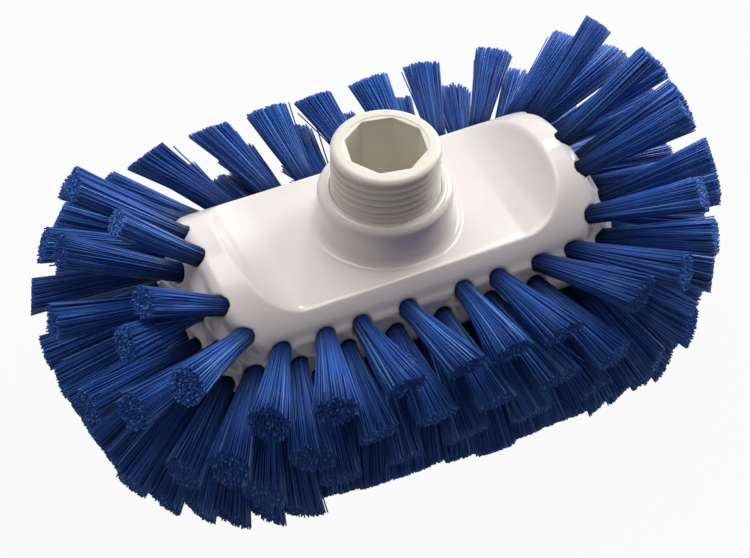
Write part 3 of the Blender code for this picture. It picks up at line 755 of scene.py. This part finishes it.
def tube_faces(tuft_count):
    """Corners of the sides, and then of the end caps, of the tubes of some tufts."""
    quads, caps = [], []
    per_row = FILAMENTS * FILAMENT_SIDES
    ids = np.arange(per_row).reshape(FILAMENTS, FILAMENT_SIDES)
    after = np.roll(ids, -1, axis=1)
    for index in range(tuft_count):
        base = index * len(FILAMENT_PLACES) * per_row
        for step in range(len(FILAMENT_PLACES) - 1):
            low = base + step * per_row
            high = low + per_row
            around = np.stack([ids + low, after + low, after + high, ids + high], axis=-1)
            quads.append(around.reshape(-1, 4))
        caps.append(ids + high)
        caps.append(ids[:, ::-1] + base)
    return np.concatenate(quads), np.concatenate(caps)


def filament_mesh(name, members, seed):
    """All filaments of a group of tufts as thin closed tubes, with their tones and shares."""
    verts, tones, shares = tuft_tubes(np.random.default_rng(seed), members)
    quads, caps = tube_faces(len(members))
    mesh = bpy.data.meshes.new(name)
    mesh.vertices.add(len(verts))
    mesh.vertices.foreach_set("co", verts.ravel().astype(np.float32))
    loops = np.concatenate([quads.ravel(), caps.ravel()])
    mesh.loops.add(len(loops))
    mesh.loops.foreach_set("vertex_index", loops.astype(np.int32))
    starts = np.concatenate([np.arange(len(quads)) * 4,
                             len(quads) * 4 + np.arange(len(caps)) * FILAMENT_SIDES])
    mesh.polygons.add(len(starts))
    mesh.polygons.foreach_set("loop_start", starts.astype(np.int32))
    mesh.update(calc_edges=True)
    mesh.validate()
    mesh.polygons.foreach_set("use_smooth", np.arange(len(mesh.polygons)) < len(quads))
    for title, values in (("tone", tones), ("share", shares)):
        attribute = mesh.attributes.new(title, "FLOAT", "POINT")
        attribute.data.foreach_set("value", values.astype(np.float32))
    item = bpy.data.objects.new(name, mesh)
    bpy.context.scene.collection.objects.link(item)
    item.location.z = floor_height
    return item


# ---- materials ----

class Nodes:
    """Short hand for the node tree of a new material or world."""

    def __init__(self, owner):
        self.owner = owner
        self.owner.use_nodes = True
        self.tree = owner.node_tree
        self.shader = self.tree.nodes.get("Principled BSDF")

    def add(self, kind, **values):
        node = self.tree.nodes.new(kind)
        for key, value in values.items():
            setattr(node, key, value)
        return node

    def link(self, a, b):
        self.tree.links.new(a, b)

    def set(self, **values):
        for title, value in values.items():
            self.shader.inputs[title.replace("_", " ")].default_value = value

    def noise(self, scale, detail=2.0):
        place = self.add("ShaderNodeTexCoord")
        node = self.add("ShaderNodeTexNoise")
        node.inputs["Scale"].default_value = scale
        node.inputs["Detail"].default_value = detail
        self.link(place.outputs["Object"], node.inputs["Vector"])
        return node.outputs["Fac"]

    def combine(self, operation, first, second):
        node = self.add("ShaderNodeMath", operation=operation)
        for value, socket in zip((first, second), node.inputs):
            if isinstance(value, float):
                socket.default_value = value
            else:
                self.link(value, socket)
        return node.outputs[0]

    def white_rays(self):
        """1 for rays that should find a white studio: the camera's, mirrored and see-through."""
        path = self.add("ShaderNodeLightPath").outputs
        mirrored = self.combine("MAXIMUM", path["Is Camera Ray"], path["Is Glossy Ray"])
        return self.combine("MAXIMUM", mirrored, path["Is Transmission Ray"])

    def spread(self, value, low, high, from_low=0.3, from_high=0.7):
        node = self.add("ShaderNodeMapRange")
        node.inputs["From Min"].default_value = from_low
        node.inputs["From Max"].default_value = from_high
        node.inputs["To Min"].default_value = low
        node.inputs["To Max"].default_value = high
        self.link(value, node.inputs["Value"])
        return node.outputs["Result"]

    def mix(self, share, first, second):
        node = self.add("ShaderNodeMix", data_type="RGBA")
        self.link(share, node.inputs["Factor"])
        for value, socket in ((first, "A"), (second, "B")):
            slot = [s for s in node.inputs if s.name == socket and s.type == "RGBA"][0]
            if isinstance(value, tuple):
                slot.default_value = (*value, 1.0)
            else:
                self.link(value, slot)
        return [s for s in node.outputs if s.type == "RGBA"][0]

    def bump(self, height, distance, strength, normal=None):
        node = self.add("ShaderNodeBump")
        node.inputs["Strength"].default_value = strength
        node.inputs["Distance"].default_value = distance
        self.link(height, node.inputs["Height"])
        if normal is not None:
            self.link(normal, node.inputs["Normal"])
        return node.outputs["Normal"]


def white_plastic():
    m = Nodes(bpy.data.materials.new("white_moulded_plastic"))
    tint = m.mix(m.spread(m.noise(45), 0, 1), (0.81, 0.755, 0.73), (0.84, 0.79, 0.765))
    m.link(tint, m.shader.inputs["Base Color"])
    m.link(m.spread(m.noise(120, 3.0), 0.16, 0.20), m.shader.inputs["Roughness"])
    wave = m.bump(m.noise(40, 1.0), 0.0006, 0.12)
    grain = m.bump(m.noise(1400), 0.00002, 0.12, wave)
    m.link(grain, m.shader.inputs["Normal"])
    m.set(IOR=1.49, Subsurface_Weight=0.15, Subsurface_Scale=0.0015)
    return m.owner


def ivory_plastic():
    m = Nodes(bpy.data.materials.new("ivory_moulded_plastic"))
    tint = m.mix(m.spread(m.noise(60), 0, 1), (0.79, 0.75, 0.67), (0.83, 0.79, 0.71))
    m.link(tint, m.shader.inputs["Base Color"])
    m.link(m.spread(m.noise(240, 3.0), 0.34, 0.44), m.shader.inputs["Roughness"])
    wave = m.bump(m.noise(120, 1.0), 0.0003, 0.15)
    grain = m.bump(m.noise(2400), 0.00002, 0.2, wave)
    m.link(grain, m.shader.inputs["Normal"])
    m.set(IOR=1.49, Subsurface_Weight=0.05, Subsurface_Scale=0.0008)
    return m.owner


def blue_filament():
    """Blue filament: each has its own tone; painted shade darkens the tuft's root, a few filaments
    are painted pale as highlight streaks, and painted glints speckle the cut ends.
    """
    m = Nodes(bpy.data.materials.new("blue_filament"))
    tone = m.add("ShaderNodeAttribute", attribute_name="tone").outputs["Fac"]
    share = m.add("ShaderNodeAttribute", attribute_name="share").outputs["Fac"]
    body = m.mix(tone, (0.016, 0.053, 0.262), (0.044, 0.186, 0.670))
    # Painted shade: filaments darken towards the tuft's root, where the tufts shade each other
    root = m.spread(share, 0.92, 0, 0.10, 0.52)
    # Painted highlight: filaments of the top tone are painted pale blue, as glossy streaks
    painted_highlight = m.spread(tone, 0, 1, 0.88, 0.98)
    body = m.mix(painted_highlight, body, (0.130, 0.330, 0.760))
    body = m.mix(root, body, (0.006, 0.014, 0.075))
    # Painted glints: cut ends are dark blue, and painted pale where the tone is high, as light
    # shining out of the filament ends
    cut = m.mix(m.spread(tone, 0, 1, 0.50, 0.80), (0.018, 0.072, 0.350), (0.130, 0.370, 0.900))
    tip = m.spread(share, 0, 1, 0.985, 1.0)
    body = m.mix(tip, body, cut)
    m.link(body, m.shader.inputs["Base Color"])
    gloss = m.spread(m.noise(1500), 0.28, 0.44)
    dull_cut = m.spread(share, 0.0, 0.85, 0.985, 1.0)
    m.link(m.combine("MAXIMUM", gloss, dull_cut), m.shader.inputs["Roughness"])
    m.set(IOR=1.40, Specular_IOR_Level=0.28)
    return m.owner


# ---- dressing ----

white, ivory, blue = white_plastic(), ivory_plastic(), blue_filament()

block = make_block()
block.data.materials.clear()
block.data.materials.append(white)
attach(block, "root")
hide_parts("brush_block")

neck = make_neck()
neck.data.materials.append(ivory)
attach(neck, "root")
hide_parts("socket_insert")

for ring, members in enumerate(tufts):
    for group in range(len(HALF_TURN_GROUPS[ring]) * 2):
        name = "%s_filaments_%02d" % (RING_NAMES[ring], group + 1)
        chosen = [tuft for tuft in members if tuft["group"] == group]
        item = filament_mesh(name, chosen, seed=100 * ring + group)
        item.data.materials.append(blue)
        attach(item, "root")
        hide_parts("%s_tufts_%02d" % (RING_NAMES[ring], group + 1))


# ---- stage ----

def make_floor():
    """Pale paper, which is white to the camera but keeps a little of the object's shadow."""
    bm = bmesh.new()
    bmesh.ops.create_grid(bm, x_segments=2, y_segments=2, size=3.0)
    item = object_from(bm, "floor")
    item.location.z = -0.0002
    m = Nodes(bpy.data.materials.new("floor_paper"))
    paper = m.mix(m.noise(8), (0.25, 0.235, 0.225), (0.27, 0.255, 0.245))
    m.link(paper, m.shader.inputs["Base Color"])
    m.set(Roughness=0.9)
    glow = m.add("ShaderNodeEmission")
    glow.inputs["Color"].default_value = (1, 1, 1, 1)
    glow.inputs["Strength"].default_value = 1.0
    blend = m.add("ShaderNodeMixShader")
    m.link(m.combine("MULTIPLY", m.white_rays(), 0.95), blend.inputs[0])
    m.link(m.shader.outputs[0], blend.inputs[1])
    m.link(glow.outputs[0], blend.inputs[2])
    m.link(blend.outputs[0], m.tree.nodes["Material Output"].inputs["Surface"])
    item.data.materials.append(m.owner)


def make_world():
    """A white studio, whose light is brighter above and behind than in front."""
    w = Nodes(bpy.data.worlds.new("studio"))
    bpy.context.scene.world = w.owner
    toward = w.add("ShaderNodeVectorMath", operation="DOT_PRODUCT")
    toward.inputs[1].default_value = (0.0, 0.80, 0.60)
    w.link(w.add("ShaderNodeTexCoord").outputs["Generated"], toward.inputs[0])
    level = w.spread(toward.outputs["Value"], 0.09, 0.37, -0.6, 0.9)
    white = w.white_rays()
    background = w.tree.nodes["Background"]
    w.link(w.mix(white, (1.0, 0.95, 0.91), (1.0, 1.0, 1.0)), background.inputs["Color"])
    w.link(w.combine("MAXIMUM", white, level), background.inputs["Strength"])


def soft_lamp(name, place, target_height, size, power):
    """A rectangular lamp that points at the middle of the brush, at a height."""
    data = bpy.data.lights.new(name, "AREA")
    data.shape = "RECTANGLE"
    data.size, data.size_y = size
    data.energy = power
    lamp = bpy.data.objects.new(name, data)
    bpy.context.scene.collection.objects.link(lamp)
    lamp.location = place
    ray = Vector((0, 0, target_height)) - Vector(place)
    lamp.rotation_euler = ray.to_track_quat("-Z", "Y").to_euler()


def make_camera():
    """Set as the photograph was taken: from the front left, 46 degrees above level."""
    elevation, azimuth, roll = (math.radians(angle) for angle in CAMERA_DEGREES)
    right = Vector((math.cos(azimuth), -math.sin(azimuth), 0))
    ahead = Vector((math.sin(azimuth) * math.cos(elevation),
                    math.cos(azimuth) * math.cos(elevation), -math.sin(elevation)))
    up = right.cross(ahead)
    right, up = (right * math.cos(roll) + up * math.sin(roll),
                 up * math.cos(roll) - right * math.sin(roll))
    place = -(right * CAMERA_AIM[0] + up * CAMERA_AIM[1] + ahead * CAMERA_AIM[2])
    place.z += floor_height
    data = bpy.data.cameras.new("camera")
    data.sensor_width, data.lens = CAMERA_FILM
    data.clip_start = 0.01
    camera = bpy.data.objects.new("camera", data)
    bpy.context.scene.collection.objects.link(camera)
    camera.matrix_world = Matrix(((right.x, up.x, -ahead.x, place.x),
                                  (right.y, up.y, -ahead.y, place.y),
                                  (right.z, up.z, -ahead.z, place.z), (0, 0, 0, 1)))
    bpy.context.scene.camera = camera


make_floor()
make_world()
soft_lamp("top_softbox", (0.08, 0.26, 0.90), 0.05, (0.7, 0.5), 4.7)
soft_lamp("left_softbox", (-0.80, 0.20, 0.40), 0.05, (0.3, 0.6), 0.3)
soft_lamp("right_softbox", (0.78, 0.30, 0.33), 0.05, (0.3, 0.6), 5.8)
soft_lamp("glint_lamp", (0.30, 0.35, 0.55), 0.08, (0.03, 0.10), 0.35)
make_camera()
bpy.context.scene.view_settings.view_transform = "Standard"
